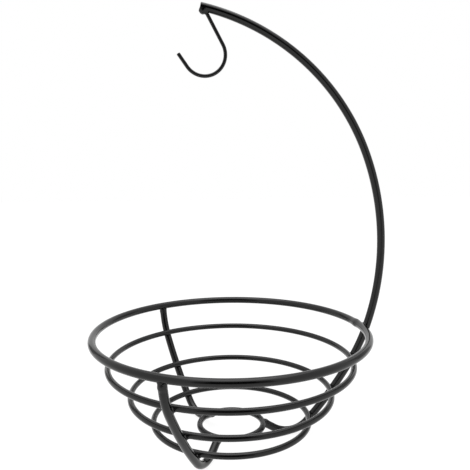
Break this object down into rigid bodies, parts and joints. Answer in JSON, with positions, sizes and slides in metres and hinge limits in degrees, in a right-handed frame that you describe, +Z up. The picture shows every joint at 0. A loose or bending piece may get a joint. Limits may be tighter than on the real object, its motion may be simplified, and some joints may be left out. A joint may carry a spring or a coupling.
{
  "type": "fruit bowl with banana hanger",
  "caption": "Open wire fruit bowl on bent rod feet, with an arched arm rising from one side and a small hook over the bowl for hanging bananas.",
  "frame": {"origin": "on the table, on the axis of the bowl's rings", "axes": "+Z up along the bowl's axis, +X from the axis towards the arm, +Y to the arm's left seen from the axis"},
  "size_m": [0.2719, 0.254, 0.3909],
  "materials": {
    "black_coating": "smooth satin black coating on steel bar and wire"
  },
  "bodies": {
    "root": {"rim_ring": "black_coating", "upper_ring": "black_coating", "middle_ring": "black_coating", "lower_ring": "black_coating", "centre_ring": "black_coating", "hanger_rod": "black_coating", "rear_rib": "black_coating", "front_rib": "black_coating", "banana_hook": "black_coating", "upper_ring_welds": "black_coating", "middle_ring_welds": "black_coating", "lower_ring_welds": "black_coating", "centre_ring_welds": "black_coating", "rim_welds": "black_coating", "hook_weld": "black_coating"}
  },
  "joints": []
}
